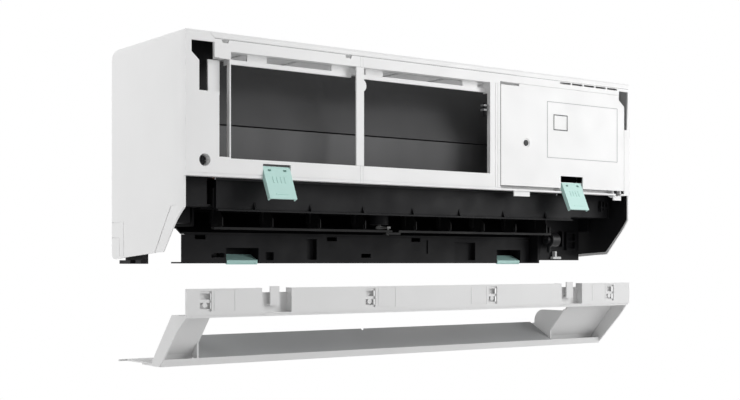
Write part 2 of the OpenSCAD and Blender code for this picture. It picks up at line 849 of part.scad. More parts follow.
module mounting_plate() at_unit() color(steel) {
  z = [hang_h - plate_h / 2, hang_h + plate_h / 2];
  y = [unit_d - plate_t, unit_d];
  difference() {
    union() {
      slab([-plate_w / 2, plate_w / 2], y, z);
      for (s = [-1, 1]) {
        slab([s * 200 - plate_hook_w / 2, s * 200 + plate_hook_w / 2], [unit_d - plate_lift,
          unit_d - plate_t + 0.1],
          [z[1] - plate_hook_t, z[1]]);
        slab([s * 200 - plate_hook_w / 2, s * 200 + plate_hook_w / 2], [unit_d - plate_lift,
          unit_d - plate_t + 0.1],
          [z[0], z[0] + plate_hook_t]);
      }
      for (k = [-1, 1]) slab([-plate_w / 2 + 30, plate_w / 2 - 30], [unit_d - 3,
        unit_d - plate_t + 0.1],
        [hang_h + k * 55 - 2, hang_h + k * 55 + 2]);
    }
    for (x = [-plate_screw_x / 2, plate_screw_x / 2], k = [-plate_screw_z / 2, plate_screw_z / 2])
      bar_d(x, [unit_d - 5, unit_d + cut], hang_h + k, plate_screw_r);
    for (x = [-180:plate_hole_pitch:180], k = [-30, 30])
      slab([x - 16, x + 16], [unit_d - 5, unit_d + cut], [hang_h + k - 6, hang_h + k + 6]);
  }
}

// Black chassis behind and round the outlet
module scroll_ring() {
  difference() {
    translate([fan_d, fan_h]) circle(r = scroll_r + shell_t);
    translate([fan_d, fan_h]) circle(r = scroll_r);
    translate([fan_d, fan_h]) polygon([[0, 0], [2 * unit_d * cos(scroll_up),
      2 * unit_d * sin(scroll_up)],
      [0, 2 * unit_d], [-2 * unit_d, 2 * unit_d], [-2 * unit_d, -2 * unit_d],
      [2 * unit_d * cos(floor_leave), -2 * unit_d * sin(floor_leave)]]);
  }
}

module outlet_floor_line() {
  leave = [fan_d + scroll_r * cos(floor_leave), fan_h - scroll_r * sin(floor_leave)];
  out = [fan_d + (scroll_r + shell_t) * cos(floor_leave), fan_h - (scroll_r + shell_t) * sin(floor_leave)];
  fall = shell_t / cos(90 - floor_leave);
  polygon([leave, out, [guide_end_d, guide_end_z - fall], [guide_end_d, guide_end_z]]);
}

module rear_chassis() at_unit() color(black) {
  x = [out_x0 - shell_t, out_x1 + partition_t];
  top_d = fan_d + scroll_r * cos(scroll_up);
  top_z = fan_h + scroll_r * sin(scroll_up);
  run_x(x) union() {
    scroll_ring();
    outlet_floor_line();
    polygon([[top_d, top_z], [back_d + 0.1, top_z + 10], [back_d + 0.1, top_z + 10 + shell_t], [top_d,
      top_z + shell_t]]);
  }
  slab([-side_wall_x, side_wall_x], [back_d, back_d + back_t], [channel_h, chassis_top]);
  for (s = [-1, 1]) difference() {
    slab([s * side_wall_x - shell_t / 2, s * side_wall_x + shell_t / 2], [side_wall_d, back_d + back_t],
      [side_wall_h, chassis_top]);
    slab([s * side_wall_x - shell_t, s * side_wall_x + shell_t], [side_wall_d - cut, end_room_d],
      [side_wall_h - cut, end_room_h]);
  }
  difference() {
    run_x([x[0], out_x0]) polygon([[90, channel_h], [back_d + 1, channel_h], [back_d + 1, 166], [82,
      166],
      [82, 100], [34, 97], [34, 71], [90, 86]]);
    bar_x([x[0] - cut, out_x0 + cut], fan_d, fan_h, shaft_r * 2);
    bar_x([x[0] - cut, out_x0 + cut], spigot_d, spigot_z, spigot_collar_r + play);
  }
  difference() {
    run_x([out_x1, x[1]]) polygon([[86, channel_h], [part_leg_d[0], channel_h], [part_leg_d[0],
      part_leg_h],
      [part_leg_d[1], part_leg_h], [part_leg_d[1], channel_h], [back_d + 1, channel_h], [back_d + 1,
        chassis_top - 20],
      [104, chassis_top - 20], [60, 210], [20, 200], [20, lip_h + 20], [82, lip_h + 4], [90, 88]]);
    bar_x([out_x1 - cut, x[1] + cut], fan_d, fan_h, motor_hole_r);
    for (i = [0, 1]) bar_x([out_x1 - cut, x[1] + cut], pipe_d[i], pipe_top[i], pipe_r[i] + 1);
  }
  slab([-side_wall_x, cover_x0 - cheek_room], [end_room_d, back_d + 1], [side_wall_h,
    side_wall_h + shell_t]);
  slab([-side_wall_x, cover_x0 - cheek_room], [end_room_d, end_room_d + shell_t], [side_wall_h,
    end_room_h + cut]);
  slab([-side_wall_x, out_x0 - shell_t / 2], [side_wall_d, end_room_d + shell_t], [end_room_h,
    end_room_h + shell_t]);
  slab([cover_x0 - cheek_room - 1, out_x0], [cheek_back_d + 2, back_d + 1], [side_wall_h,
    side_wall_h + shell_t]);
  difference() {
    slab([x[1] - 0.1, side_wall_x], [housing_d[1] + 4, back_d + 1], [side_wall_h,
      side_wall_h + shell_t]);
    for (i = [0, 1]) bar_z(pipe_x[i], pipe_d[i], [side_wall_h - cut, side_wall_h + shell_t + cut],
      pipe_r[i] + 1);
  }
  slab([-side_wall_x, cover_x0 - cheek_room], [side_wall_d, side_wall_d + shell_t], [end_room_h, bar_low]);
  slab([-side_wall_x, out_x0 - seat], [side_wall_d, side_wall_d + shell_t], [lip_h, unit_h - wall - play]);
  screw_post(screws[0], side_wall_d + shell_t / 2);
  slab([-foot_x - foot_t / 2, -foot_x + foot_t / 2], foot_d, [foot_z[0], side_wall_h + 1]);
  for (d = [[foot_d[0], foot_gap_d[0]], [foot_gap_d[1], foot_d[1]]])
    slab([-half_w + foot_out[0], -half_w + foot_out[1]], d, foot_z);
  slab([out_x0 + rear_slab_in, out_x1 + 1], [panel_d + panel_flange_d,
    panel_d + panel_flange_d + shell_t], [2, channel_h + 8]);
}

module drain_pan() at_unit() color(black) {
  x = [out_x0 + pan_end_gap, out_x1 - pan_end_gap];
  nose = pan_nose;
  rear = [for (s = pan_rear_shares) [fan_d - s[0] * fan_r, fan_h - s[1] * fan_r]];
  difference() {
    run_x(x) polygon([[pan_front_d, pan_top_h], [pan_front_d, pan_low_h], nose, rear[0], [rear[1][0],
      pan_top_h]]);
    run_x([x[0] + pan_t, x[1] - pan_t]) polygon([[pan_front_d + pan_t, pan_top_h + cut],
      [pan_front_d + pan_t, pan_low_h + 2 * pan_t], [nose[0] - 3 * pan_t, nose[1] + pan_t],
        [rear[0][0] - pan_t, rear[0][1]],
      [rear[1][0] - pan_t, rear[1][1]], [rear[1][0] - pan_t, pan_top_h + cut]]);
    bar_x([x[0] - cut, x[0] + pan_t + cut], spigot_d, spigot_z, spigot_bore_r);
  }
  run_x(x) polygon([[pan_front_d - pan_ledge_d, pan_low_h], [pan_front_d + 0.5, pan_low_h],
    [pan_front_d + 0.5, pan_low_h + pan_ledge_h], [pan_front_d - pan_ledge_d,
      pan_low_h + pan_ledge_h - 1]]);
  for (i = [0:gusset_count - 1]) {
    gx = x[0] + (x[1] - x[0] - gusset_pitch * (gusset_count - 1)) / 2 + i * gusset_pitch;
    run_x([gx - gusset_t / 2, gx + gusset_t / 2]) polygon([[pan_front_d - pan_ledge_d, pan_low_h + 1],
      [pan_front_d + 0.5, pan_low_h + 1], [pan_front_d + 0.5, pan_low_h + gusset_h]]);
  }
  difference() {
    union() {
      bar_x([x[0] - spigot_l, x[0]], spigot_d, spigot_z, spigot_r);
      bar_x([x[0] - spigot_collar_l, x[0] + pan_t / 2], spigot_d, spigot_z, spigot_collar_r);
    }
    bar_x([x[0] - spigot_l - cut, x[0] + 1], spigot_d, spigot_z, spigot_bore_r);
  }
}

module lower_panel() at_unit() color([0.15, 0.15, 0.16]) {
  d = [panel_d, panel_d + panel_t];
  bay_d = [panel_d + 1, panel_d + bay_deep];
  difference() {
    union() {
      slab(panel_x, d, [0, panel_h]);
      slab(panel_x, [panel_d, panel_d + panel_flange_d - seat], [-panel_flange_t, 0.1]);
      for (b = panel_bays) slab([b[0], b[0] + b[1]], bay_d, [b[2], b[2] + b[3]]);
      slab([out_x0 + panel_rib_shares[0] * out_w,
        out_x0 + (panel_rib_shares[0] + panel_rib_shares[1]) * out_w],
        [panel_d - 2, panel_d + 1], [panel_rib_shares[2] * panel_h, panel_rib_shares[3] * panel_h]);
    }
    for (p = panel_hole_places) slab([p[0] - panel_hole_w / 2, p[0] + panel_hole_w / 2],
      [panel_d - cut, panel_d + panel_t + cut], [p[1] - panel_hole_h / 2, p[1] + panel_hole_h / 2]);
    bar_d(panel_eye[0], [panel_d - cut, panel_d + panel_t + cut], panel_eye[1], panel_eye_r);
    for (b = panel_bays) slab([b[0] + bay_t, b[0] + b[1] - bay_t], [panel_d - cut,
      panel_d + bay_deep - bay_t],
      [b[2] + bay_t, b[2] + b[3] - bay_t]);
    for (s = [-1, 1]) slab([s * low_latch_x - low_latch_w / 2 - low_bay_room,
      s * low_latch_x + low_latch_w / 2 + low_bay_room],
      [panel_d - cut, low_latch_pivot_d + 8], [-panel_flange_t - cut, low_bay_h]);
  }
  for (s = [-1, 1], e = [-1, 1]) {
    mid = s * low_latch_x + e * (low_latch_w / 2 + low_bay_room + 1);
    difference() {
      slab([mid - 1, mid + 1], [panel_d + 0.1, low_latch_pivot_d + 4], [-panel_flange_t, low_bay_h]);
      bar_x([mid - 2, mid + 2], low_latch_pivot_d, low_latch_pivot_h, low_latch_pin_r);
    }
  }
}

module right_end_housing() at_unit() color([0.12, 0.12, 0.13]) {
  x = housing_x;
  t = housing_t;
  top = box_z[0] - seat;
  run_x(x) polygon([[housing_d[0], top], [housing_d[0], housing_step_h], [housing_d[1], housing_step_h],
    [housing_d[1], housing_low_h], [housing_d[1] + t, housing_low_h], [housing_d[1] + t,
      housing_step_h + t],
    [housing_d[0] + t, housing_step_h + t], [housing_d[0] + t, top]]);
  screw_post(screws[1], housing_d[0] + t / 2);
  for (i = [0:2]) slab([x[1] - 20 + i * 7, x[1] - 18 + i * 7], [housing_d[0] - 5, housing_d[0] + 0.1],
    [84 + 3 * i, 102 - 2 * i]);
  slab([x[1] - 22, x[1] - 4], [housing_d[0] - 4, housing_d[0] + 0.1], [90, 92]);
  for (z = [20, 34, 48]) slab([x[1] - 34, x[1] - 12], [housing_d[1] - 5, housing_d[1] + 0.1], [z, z + 3]);
  for (i = [0, 1]) slab([x[1] - 34 + i * 20, x[1] - 32 + i * 20], [housing_d[1] - 5, housing_d[1] + 0.1],
    [20, 51]);
  slab([x[0] + 46, x[0] + 49], [housing_d[1] - 8, housing_d[1] + 0.1], [26, 52]);
}

module harness_clip() at_unit() color(white) {
  slab([housing_x[0] + 26, housing_x[0] + 44], [housing_d[1] - 7, housing_d[1] - seat / 10], [5, 9]);
  slab([housing_x[0] + 30, housing_x[0] + 34], [housing_d[1] - 7, housing_d[1] - seat / 10], [9, 18]);
}

// Outlines of the coil slabs
crease = [crease_d, crease_h];
up_len = norm(upper_top - crease);
up_dir = (upper_top - crease) / up_len;
up_in = [up_dir[1], -up_dir[0]];
rear_len = norm(rear_low - rear_top);
rear_dir = (rear_low - rear_top) / rear_len;
rear_out = [-rear_dir[1], rear_dir[0]];

module upper_outline() {
  polygon([crease, upper_top, upper_top + slab_t * up_in, crease + slab_t * up_in]);
}

module lower_outline() {
  front_top = crease - [0, coil_gap];
  polygon([front_top, [crease_d + coil_lean, coil_low_h], [crease_d + coil_lean + slab_t, coil_low_h],
    front_top + slab_t * up_in]);
}

module rear_outline() {
  polygon([rear_top, rear_low, rear_low + slab_t * rear_out, rear_top + slab_t * rear_out]);
}

module front_lower_coil() at_unit() color(coil_grey) run_x(coil_x) lower_outline();

module front_upper_coil() at_unit() color(coil_grey) run_x(coil_x) upper_outline();

module rear_coil() at_unit() color(coil_grey) run_x(coil_x) rear_outline();

module coil_end_plates() at_unit() color(steel) {
  for (x = [[coil_x[0] - end_plate_t, coil_x[0]], [coil_x[1], coil_x[1] + end_plate_t]]) run_x(x) {
    lower_outline();
    upper_outline();
    rear_outline();
    polygon([crease, crease - [0, coil_gap], crease + slab_t * up_in - [0, coil_gap],
      crease + slab_t * up_in]);
    polygon([upper_top + slab_t * up_in, rear_top, rear_top + slab_t * rear_out, upper_top]);
  }
}

// One return bend between two tube places, standing out of an end plate
module return_bend(p, dir, x, s) {
  mid = p + dir * tube_pitch / 2;
  turn = atan2(dir[1], dir[0]);
  translate([x, fy(mid[0]), mid[1]]) rotate([turn, 0, 0]) rotate([0, 0, s > 0 ? 0 : 180])
    rotate([0, 0, -90]) rotate_extrude(angle = 180) translate([tube_pitch / 2, 0]) circle(r = tube_r);
}

module bend_row(start, dir, count) {
  for (i = [0:count - 1]) {
    p = start + dir * (6 + i * 2 * tube_pitch);
    return_bend(p, dir, coil_x[0] - end_plate_t, -1);
    return_bend(p, dir, coil_x[1] + end_plate_t, 1);
  }
}

module coil_bends() at_unit() color(copper) {
  bend_row(crease + slab_t / 2 * up_in + 4 * up_dir, up_dir, 2);
  bend_row([crease_d + coil_lean + slab_t / 2 - 2, pan_top_h - 1.5], [0, 1], 2);
  bend_row(rear_top + slab_t / 2 * rear_out, rear_dir, 2);
}

module refrigerant_pipes() at_unit() color(copper) {
  for (i = [0, 1]) {
    bar_x([pipe_end_x, pipe_x[i]], pipe_d[i], pipe_low[i], pipe_r[i]);
    bar_z(pipe_x[i], pipe_d[i], [pipe_low[i], pipe_top[i]], pipe_r[i]);
    bar_x([coil_x[1] + end_plate_t, pipe_x[i]], pipe_d[i], pipe_top[i], pipe_r[i]);
    for (z = [pipe_low[i], pipe_top[i]]) translate([pipe_x[i], fy(pipe_d[i]), z]) sphere(r = pipe_r[i]);
  }
}

module flare_nuts() at_unit() color(brass) {
  for (i = [0, 1]) difference() {
    translate([pipe_end_x + 8, fy(pipe_d[i]), pipe_low[i]]) rotate([0, 90, 0])
      cylinder(r = pipe_r[i] + 4.5, h = nut_l, $fn = 6);
    bar_x([pipe_end_x, pipe_end_x + nut_l + 10], pipe_d[i], pipe_low[i], pipe_r[i]);
  }
}

// Fan wheel
module blade() {
  rotate(blade_lead) polygon([[fan_inner_r, -blade_t / 2], [fan_inner_r + 5, -blade_t - 1], [fan_r - 0.6,
    -blade_t * 4],
    [fan_r - 0.6, -blade_t * 3], [fan_inner_r + 5, -1], [fan_inner_r, blade_t / 2]]);
}

module fan_wheel() at_unit() color([0.13, 0.13, 0.14]) {
  step = (fan_x[1] - fan_x[0] - fan_disc_t) / fan_sections;
  translate([fan_x[0], fy(fan_d), fan_h]) rotate([90, 0, 90]) {
    linear_extrude(fan_x[1] - fan_x[0]) for (i = [0:fan_blades - 1]) rotate(i
      * 360 / fan_blades) blade();
    for (i = [0:fan_sections]) translate([0, 0, i * step]) difference() {
      cylinder(r = fan_r, h = fan_disc_t);
      if (i > 0 && i < fan_sections) translate([0, 0, -cut]) cylinder(r = fan_inner_r - 2,
        h = fan_disc_t + 2 * cut);
      if (i == 0) translate([0, 0, -cut]) cylinder(r = shaft_r, h = fan_disc_t + 2 * cut);
      if (i == fan_sections) translate([0, 0, -cut]) cylinder(r = hub_r, h = fan_disc_t + 2 * cut);
    }
  }
}

module fan_stub_shaft() at_unit() color(steel) {
  bar_x([fan_x[0] - stub_l, fan_x[0] + fan_disc_t], fan_d, fan_h, shaft_r);
  bar_x([fan_x[0] + fan_disc_t, fan_x[0] + fan_disc_t + 4], fan_d, fan_h, shaft_r * 3);
}

module fan_hub() at_unit() color([0.2, 0.2, 0.2]) difference() {
  bar_x([fan_x[1] - hub_l, fan_x[1]], fan_d, fan_h, hub_r);
  bar_x([fan_x[1] - hub_l - cut, fan_x[1] + cut], fan_d, fan_h, shaft_r);
  bar_z(fan_x[1] - hub_l / 2, fan_d, [fan_h, fan_h + hub_r + cut], 1.6);
}

module motor_shaft() at_unit() color(steel) {
  bar_x([fan_x[1] - hub_l, motor_x0 + motor_l - 6], fan_d, fan_h, shaft_r);
}

module fan_bearing() at_unit() color([0.3, 0.3, 0.32]) difference() {
  bar_x([out_x0 - shell_t - bearing_l, out_x0 - shell_t], fan_d, fan_h, bearing_r);
  bar_x([out_x0 - shell_t - bearing_l - cut, out_x0], fan_d, fan_h, shaft_r + run_fit);
}

module bearing_holder() at_unit() color(black) difference() {
  x = [out_x0 - shell_t - holder_l, out_x0 - shell_t];
  bar_x(x, fan_d, fan_h, bearing_r + holder_t);
  bar_x([x[1] - bearing_l, x[1] + cut], fan_d, fan_h, bearing_r);
  bar_x([x[0] - cut, x[1] + cut], fan_d, fan_h, shaft_r + 1);
}

module fan_motor() at_unit() color([0.75, 0.75, 0.76]) {
  x = [motor_x0, motor_x0 + motor_l];
  difference() {
    union() {
      bar_x(x, fan_d, fan_h, motor_r);
      bar_x([x[0] - motor_boss_l, x[1] + motor_boss_l], fan_d, fan_h, motor_boss_r);
    }
    bar_x([x[0] - motor_boss_l - cut, x[1] - 4], fan_d, fan_h, shaft_r + run_fit);
  }
}

module motor_clamp() at_unit() color(steel) {
  mid = motor_x0 + motor_l / 2;
  x = [mid - clamp_w / 2, mid + clamp_w / 2];
  low = side_wall_h + shell_t;
  difference() {
    union() {
      difference() {
        bar_x(x, fan_d, fan_h, motor_r + clamp_t);
        slab([x[0] - cut, x[1] + cut], [fan_d - 2 * motor_r, fan_d + 2 * motor_r],
          [fan_h - 2 * motor_r, fan_h]);
      }
      for (s = [-1, 1]) slab(x, [fan_d + s * (motor_r + clamp_t / 2) - clamp_t / 2,
        fan_d + s * (motor_r + clamp_t / 2) + clamp_t / 2],
        [s > 0 ? low : housing_step_h + housing_t, fan_h]);
      slab(x, [fan_d + motor_r, fan_d + motor_r + clamp_foot], [low, low + clamp_t]);
    }
    bar_x([x[0] - cut, x[1] + cut], fan_d, fan_h, motor_r);
    bar_z(mid, fan_d + motor_r + clamp_foot - 7, [low - cut, low + clamp_t + cut], 2);
  }
}

module clamp_screws() at_unit() color(steel) {
  mid = motor_x0 + motor_l / 2;
  low = side_wall_h + shell_t;
  bar_z(mid, fan_d + motor_r + clamp_foot - 7, [low + clamp_t, low + clamp_t + 2.4], clamp_screw_r);
  bar_z(mid, fan_d + motor_r + clamp_foot - 7, [low, low + clamp_t + 0.1], 2);
}

// Vanes, link bars and swing drive
function roof_h(d) = pan_low_h + (d - pan_front_d) * (pan_nose[1] - pan_low_h) / (pan_nose[0] - pan_front_d);

module rail_outline() {
  polygon([[rail_d[0], rail_z[0]], [rail_d[1], rail_z[0]], [rail_d[1], roof_h(rail_d[1]) - roof_gap],
    [rail_d[0], roof_h(rail_d[0]) - roof_gap]]);
}

module vane_rails() at_unit() color(black) difference() {
  union() {
    run_x([out_x0 + pan_end_gap + 1, swing_x - stepper_r - 9]) rail_outline();
    run_x([swing_x + stepper_r + 9, out_x1 - pan_end_gap - 1]) rail_outline();
  }
  for (x = concat(left_x, right_x)) bar_z(x, vane_pivot_d, [rail_z[0] - cut, rail_z[1]],
    vane_pin_r + run_fit);
}

module vane(x) at_unit() color([0.13, 0.13, 0.14]) {
  run_x([x - vane_t / 2, x + vane_t / 2]) polygon([[vane_d[0], vane_z[0]], [vane_d[1] - 6, vane_z[0]],
    [vane_d[1], vane_z[0] + 8], [vane_d[1], vane_z[1]], [vane_d[0] + 8, vane_z[1]], [vane_d[0],
      vane_z[1] - 10]]);
  bar_z(x, vane_pivot_d, [vane_z[0] + 6, rail_z[1] - 0.6], vane_pin_r);
  bar_z(x, vane_pivot_d, [vane_z[1] - 3, rail_z[0] - seat], vane_pin_r + 1.2);
  bar_z(x, link_pin_d, [link_z[0] - 0.8, vane_z[0] + 6], link_pin_r);
}

module link_slot(x) {
  throw = vane_arm * (1 - cos(vane_turn));
  slip = vane_arm * (vane_turn * PI / 180 - sin(vane_turn));
  half = link_pin_r + slip + link_slot_play;
  slab([x - half, x + half], [link_pin_d - link_pin_r - link_slot_play,
    link_pin_d + throw + link_pin_r + link_slot_play],
    [link_z[0] - link_lap - 2 * cut, link_z[1] + cut]);
}

link_d = [link_pin_d - 3.6, link_pin_d - 3.6 + link_w];

module link_bar_left() at_unit() color([0.2, 0.2, 0.21]) difference() {
  slab([left_x[0] - link_over, swing_x + link_over / 2], link_d, link_z);
  for (x = concat(left_x, [swing_x])) link_slot(x);
}

module link_bar_right() at_unit() color([0.2, 0.2, 0.21]) difference() {
  union() {
    slab([swing_x + link_over * 1.5, right_x[vanes_right - 1] + link_over], link_d, link_z);
    slab([swing_x - link_over / 2, swing_x + link_over * 1.5 + 3], link_d, [link_z[0] - link_lap,
      link_z[1] - link_lap]);
    slab([swing_x + link_over * 1.5, swing_x + link_over * 1.5 + 3], link_d, [link_z[0] - link_lap,
      link_z[1]]);
  }
  for (x = concat([swing_x], right_x)) link_slot(x);
}

module swing_motor() at_unit() color([0.3, 0.3, 0.31]) difference() {
  union() {
    bar_z(swing_x, vane_pivot_d, [vane_z[0] + 7, vane_z[0] + 7 + stepper_l], stepper_r);
    slab([swing_x - 21, swing_x + 21], [vane_pivot_d - 4, vane_pivot_d + 4],
      [vane_z[0] + 6 + stepper_l, vane_z[0] + 7 + stepper_l]);
    for (s = [-1, 1]) bar_z(swing_x + s * 17.5, vane_pivot_d, [vane_z[0] + 6 + stepper_l,
      roof_h(vane_pivot_d - 3) - roof_gap], 3);
  }
  bar_z(swing_x, vane_pivot_d, [vane_z[0], vane_z[0] + 14], 2.5 + run_fit);
}

module swing_crank() at_unit() color([0.75, 0.75, 0.74]) {
  bar_z(swing_x, vane_pivot_d, [vane_z[0] + 2, vane_z[0] + 13], 2.5);
  bar_z(swing_x, vane_pivot_d, [vane_z[0] + 1, vane_z[0] + 5], 5);
  slab([swing_x - 3, swing_x + 3], [link_pin_d - 3, vane_pivot_d], [vane_z[0] + 1, vane_z[0] + 4]);
  bar_z(swing_x, link_pin_d, [link_z[0] - link_lap - 0.8, vane_z[0] + 2], link_pin_r);
}

// The louver itself is off: its motor and the drive hub stay in the right end wall
module louver_motor() at_unit() color(steel) {
  x = [housing_x[0] + 8, housing_x[0] + 8 + stepper_l];
  difference() {
    union() {
      bar_x(x, louver_d, louver_z, louver_motor_r);
      slab([x[0], x[0] + 1], [louver_d - 3.5, louver_d + 3.5], [louver_z - 21, louver_z + 21]);
      slab([x[0] + 2, x[1] - 2], [louver_d + 8, housing_d[1] - seat / 10], [louver_z - 8,
        louver_z + 8]);
    }
    bar_x([x[0] - cut, x[1] - 3], louver_d, louver_z, 2.5 + run_fit);
  }
}

module louver_drive() at_unit() color([0.82, 0.82, 0.8]) {
  x0 = housing_x[0] + 8;
  difference() {
    bar_x([x0 - louver_hub_l, x0 - 0.4], louver_d, louver_z, louver_hub_r);
    slab([x0 - louver_hub_l - cut, x0 - louver_hub_l + louver_key_l], [louver_d - 4, louver_d + 4],
      [louver_z - louver_key / 2, louver_z + louver_key / 2]);
  }
  bar_x([x0 - 1, x0 + stepper_l - 4], louver_d, louver_z, 2.5);
}

module air_sensor() at_unit() color([0.15, 0.15, 0.15]) {
  bar_z(open_x1 - 5, 8, [unit_h - 75, unit_h - 55], 1.8);
}

module sensor_clip() at_unit() color(white) difference() {
  union() {
    slab([open_x1 - 9, open_x1], [4, 12], [unit_h - 67, unit_h - 64]);
    slab([open_x1 - 9, open_x1], [4, 12], [unit_h - 60, unit_h - 57.5]);
  }
  bar_z(open_x1 - 5, 8, [unit_h - 70, unit_h - 50], 1.8);
}

module casing_screws() at_unit() color(steel) {
  d = screw_boss_d - wall;
  for (p = screws) {
    difference() {
      bar_d(p[0], [d - 3, d], p[1], screw_r);
      slab([p[0] - screw_r, p[0] + screw_r], [d - 4, d - 1.6], [p[1] - screw_slot / 2,
        p[1] + screw_slot / 2]);
      slab([p[0] - screw_slot / 2, p[0] + screw_slot / 2], [d - 4, d - 1.6], [p[1] - screw_r,
        p[1] + screw_r]);
    }
    bar_d(p[0], [d, screw_boss_d + screw_reach - 1], p[1], screw_shank_r);
  }
}

module latch_pins() at_unit() color(steel) {
  for (s = [-1, 1]) {
    reach = latch_w / 2 + ear_gap + ear_t;
    bar_x([s * latch_x - reach, s * latch_x + reach], latch_pivot_d, latch_pivot_h, latch_pin_r);
    low = low_latch_w / 2 + low_bay_room + 2;
    bar_x([s * low_latch_x - low, s * low_latch_x + low], low_latch_pivot_d, low_latch_pivot_h,
      low_latch_pin_r);
  }
}

// Upper latch drawn upright, with x = 0 in its middle and depth and height from its pivot
module latch_body() {
  w = latch_w / 2;
  f = latch_front - latch_pivot_d;
  difference() {
    union() {
      translate([-w, f, -latch_l]) cube([latch_w, latch_t, latch_l + 2]);
      for (x = [-w, w - latch_t]) translate([x, 0, 0]) rotate([90, 0, 90]) linear_extrude(latch_t)
        polygon([[f, 2], [f, -latch_l], [f + latch_cheek_slim, -latch_l],
          [f + latch_cheek_slim + 1, -14],
          [f + latch_cheek_deep, -8], [f + latch_cheek_deep, 0], [0, latch_barrel_r]]);
      translate([-w, 0, 0]) rotate([0, 90, 0]) cylinder(r = latch_barrel_r, h = latch_w);
      for (x = [-9, -3, 3, 9]) translate([x - 0.8, f - 0.5, -22]) cube([1.6, 1, 9]);
      translate([-10, f - 0.5, -latch_l + 6]) cube([20, 1, 1.5]);
    }
    translate([-w - cut, 0, 0]) rotate([0, 90, 0]) cylinder(r = latch_pin_r + run_fit,
      h = latch_w + 2 * cut);
    for (x = [-12, 12]) translate([x - 2.5, f - cut, -5]) cube([5, latch_t + 2 * cut, 3]);
  }
}

module upper_latch(s) at_unit() color(teal)
  translate([s * latch_x, fy(latch_pivot_d), latch_pivot_h]) rotate([-latch_tilt, 0, 0]) latch_body();

module low_latch_body(s) at_unit() color([0.55, 0.73, 0.7])
  translate([s * low_latch_x, fy(low_latch_pivot_d), low_latch_pivot_h]) {
    w = low_latch_w / 2;
    difference() {
      union() {
        translate([-w, 0, 0]) rotate([0, 90, 0]) cylinder(r = low_latch_barrel_r, h = low_latch_w);
        translate([-w, 0, 0]) rotate([90, 0, 90]) linear_extrude(low_latch_w) polygon([[0,
          low_latch_barrel_r],
          [0, -low_latch_barrel_r], [-low_latch_reach + 2, -low_latch_drop - low_latch_t],
          [-low_latch_reach, -low_latch_drop], [-low_latch_reach, -low_latch_drop + 4]]);
      }
      translate([-w - cut, 0, 0]) rotate([0, 90, 0])
        cylinder(r = low_latch_pin_r + run_fit, h = low_latch_w + 2 * cut);
    }
  }

// Bottom cover, drawn seated and then let down
module let_down() {
  translate([0, 0, -hang_h - cover_drop]) children();
}

// Side of the cover, from its slanted front back to its rear edge
module cover_side() {
  polygon([[0, cover_low + cut], [cover_brow_d, cover_low + cut], [cover_brow_d, cover_low], cover_heel,
    [cover_tail_d, cover_toe_h], [cover_toe_d, cover_toe_h], [cover_nose_d, cover_low]]);
}

// Curved skin that follows the casing's plan, just inside it
module cover_skin() {
  difference() {
    run_z([0, cover_low]) casing_plan(cover_in, [0, unit_d]);
    run_z([-cut, cover_low + cut]) casing_plan(cover_in + cover_t, [-cut, unit_d + cut]);
  }
}

// Rear face of the slanted end walls: depth at a height, and height at a depth
end_slope = (cover_heel[0] - cover_brow_d) / (cover_low - cover_heel[1]);
function end_d(z) = cover_brow_d - end_play + (cover_low - z) * end_slope;
function end_z(d) = cover_low - (d - cover_brow_d + end_play) / end_slope;

// Slanted wall that closes an end of the cover up to a height
module end_outline(top) {
  heel = end_d(cover_heel[1]);
  tail = cover_tail_d - end_play;
  polygon([[end_d(top) - cover_t, top], [end_d(top), top], [heel, cover_heel[1]], [tail, cover_toe_h],
    [tail - cover_t, cover_toe_h], [heel - cover_t, cover_heel[1]]]);
}

// End wall of the outlet behind a front outline, with its round rear edge
module cheek(front) {
  polygon(concat(front, [[cheek_back_d - cheek_r, cheek_top_h], [cheek_back_d - cheek_r,
    cheek_top_h - cheek_r],
    [floor_rear[0] - floor_t, floor_rear[1] - floor_t]]));
  intersection() {
    translate([cheek_back_d - cheek_r, cheek_top_h - cheek_r]) circle(r = cheek_r);
    pane([cheek_back_d - cheek_r, unit_d], [floor_rear[1] - cheek_r / 2, unit_h]);
  }
}

module cover_walls() {
  side = half_w - cover_in - cover_t / 2;
  toe = [cover_toe_h, cover_toe_h + cover_t];
  nose = cover_toe_d - cover_t;
  run_x([cover_x0, cover_x0 + cover_t]) cheek([[nose, toe[1]], [nose, end_z(nose + end_play)],
    [end_d(end_wall_h) - end_play, end_wall_h], [end_wall_d + cover_t, end_wall_h],
    [end_wall_d + cover_t, cheek_top_h]]);
  run_x([-side, side]) polygon([[cover_toe_d - 2, cover_toe_h], [cover_toe_d - 4,
    cover_toe_h + cover_lip_h],
    [cover_toe_d - 1.5, cover_toe_h + cover_lip_h], [cover_toe_d + 2, cover_toe_h + cover_t],
    [cover_toe_d + 8, cover_toe_h + cover_t], [cover_toe_d + 8, cover_toe_h]]);
  slab([-side, cover_x0 + cover_t], [cover_toe_d, flange_rear_d], toe);
  slab([cover_x1, side], [cover_toe_d, cover_tail_d], toe);
  run_x([-side, cover_x0 + cover_t]) end_outline(cover_low);
  intersection() {
    slab([-side, cover_x0 + cover_t], [2 * cover_t - end_play, cover_brow_d - end_play],
      [cover_low - cover_t, cover_low]);
    run_z([0, unit_h]) casing_plan(cover_in, [0, unit_d]);
  }
  for (d = flange_hook_d) slab([-side + 6, -side + 8], [d, d + 6], [cover_toe_h + 1,
    cover_toe_h + flange_hook_h]);
}

